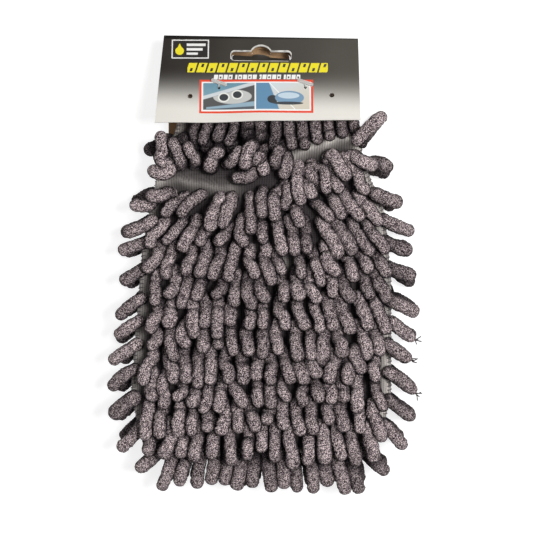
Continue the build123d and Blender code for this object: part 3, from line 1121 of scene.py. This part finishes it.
front_print = printed_finish("card_print", True)
plain_print = printed_finish("card_print_plain", False)
kraft_board = kraft_finish()
board_core = core_finish()


def dress_card(piece, outside, print_material):
    """Print on the side that faces outside, kraft on the other, and the pale core on the cut edges."""
    mesh = piece.data
    mesh.materials.clear()
    for material in (print_material, kraft_board, board_core):
        mesh.materials.append(material)
    mesh.update()
    for face in mesh.polygons:
        facing = face.normal.dot(Vector(outside))
        face.material_index = 0 if facing > 0.6 else 1 if facing < -0.6 else 2
        face.use_smooth = False


up_from_leaf = (0, math.sin(leaf_tilt), math.cos(leaf_tilt))


def fold_slip(x, y):
    """How far the card sits out of square, since it was folded and pinned by hand."""
    down = min(max((crease_y - y) / (crease_y - leaf_low.y), 0), 1)
    across = x / (60 * mm)
    return ((1 - down) * (-0.35 - 1.0 * across) + down * (-0.9 + 1.0 * across)) * mm


def leaf_wave(x, y):
    """How far the springy front leaf stands off its flat plane."""
    down = np.clip((crease_y - y) / (crease_y - leaf_low.y), 0, 1)
    wave = 0.55 * np.sin(x / (13 * mm) + 0.8) + 0.35 * np.sin(x / (7.5 * mm) + 2.0)
    return (wave * down**2 + 0.54 * np.sin(np.pi * down)) * mm


front_leaf = sliced_copy("header_front", "card_front_leaf", 2.6 * mm)
dress_card(front_leaf, up_from_leaf, front_print)
for point in front_leaf.data.vertices:
    point.co += Vector(up_from_leaf) * float(leaf_wave(point.co.x, point.co.y))
    point.co.y += fold_slip(point.co.x, point.co.y)
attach(front_leaf, "front_leaf")
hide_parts("card_front_leaf")

back_leaf = sliced_copy("header_back", "card_back_leaf", 3.0 * mm)
dress_card(back_leaf, (0, 0, -1), plain_print)
for point in back_leaf.data.vertices:
    near_fold = max(0.0, 1 - (crease_y - point.co.y) / (25 * mm))
    point.co.y += near_fold * fold_slip(point.co.x, point.co.y)
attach(back_leaf, "mitt")
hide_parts("card_back_leaf")

# the fold itself, a thin half round of board from one leaf to the other
back_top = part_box("card_back_leaf")[1]
crease_low, crease_high = back_top.z - board * 0.9, leaf_low.z + board * 0.8
half_width = 58.5 * mm
crease_steps = 40


def crease_section(offset):
    """The fold's section, offset outwards from its middle line."""
    middle = (crease_low + crease_high) / 2
    half = (crease_high - crease_low) / 2 + offset
    turns = np.linspace(-np.pi / 2, np.pi / 2, 9)
    inner_y = crease_y - 0.9 * mm
    return [(inner_y + 1.1 * half * math.cos(t), middle + half * math.sin(t)) for t in turns]


section = crease_section(0.0) + crease_section(-0.5 * mm)[::-1]
crease_points = [
    (x, y + fold_slip(x, y), z)
    for x in np.linspace(-half_width, half_width, crease_steps) for y, z in section
]
crease = make_mesh("header_fold", crease_points, tube_faces(crease_steps, len(section)))
crease.data.materials.append(plain_print)
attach(crease, "mitt")

# the slot's two flaps, still hanging from its lower edge; the front one has twisted as it was pushed
flap_hinge = {joint["name"]: Vector(joint["pos_m"]) for joint in frame["joints"]}
front_flap = sliced_copy("slot_flap_front", "card_front_flap", 1.2 * mm)
flap_turn = leaf_tilt + math.radians(40)
dress_card(front_flap, (0, math.sin(flap_turn), math.cos(flap_turn)), plain_print)
hinge = flap_hinge["front_flap_push"]
for point in front_flap.data.vertices:
    twist = math.radians(13) * point.co.x / (18 * mm)
    arm_y, arm_z = 0.95 * (point.co.y - hinge.y), 0.95 * (point.co.z - hinge.z)
    point.co.x *= 0.985
    point.co.y = hinge.y + arm_y * math.cos(twist) + arm_z * math.sin(twist)
    point.co.z = hinge.z - arm_y * math.sin(twist) + arm_z * math.cos(twist)
    point.co.y += fold_slip(point.co.x, hinge.y)
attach(front_flap, "front_flap")
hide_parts("card_front_flap")

back_flap = sliced_copy("slot_flap_back", "card_back_flap", 1.6 * mm)
dress_card(back_flap, (0, 0, -1), plain_print)
hinge = flap_hinge["back_flap_push"]
back_slip = 1 - (crease_y - hinge.y) / (25 * mm)
for point in back_flap.data.vertices:
    point.co.y = hinge.y + 0.94 * (point.co.y - hinge.y) + back_slip * fold_slip(point.co.x, hinge.y)
    point.co.z = hinge.z + 0.94 * (point.co.z - hinge.z)
    point.co.x *= 0.98
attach(back_flap, "back_flap")
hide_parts("card_back_flap")

# -------------------- tag pins
# Clear moulded pins from a tagging gun: a flat bar on the front, a thin filament through both
# leaves and the hem, and a small paddle that holds behind the back leaf.


def clear_finish():
    material, at = new_finish("clear_plastic", IOR=1.49, Transmission_Weight=0.45, Roughness=0.28)
    haze = at.noise(1.5 * mm)
    return feed(
        material,
        Base_Color=haze.mix((0.72, 0.70, 0.67), (0.93, 0.92, 0.90)),
        Normal=bump(at.noise(0.6 * mm), 0.25, 0.15 * mm),
    )


clear_plastic = clear_finish()
for hand in ("left", "right"):
    pin = in_scene(f"tag_pin_clear_{hand}", frame["nodes"][f"tag_pin_{hand}"].data.copy())
    pin.data.materials.clear()
    pin.data.materials.append(clear_plastic)
    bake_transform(pin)
    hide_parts(f"tag_pin_{hand}")
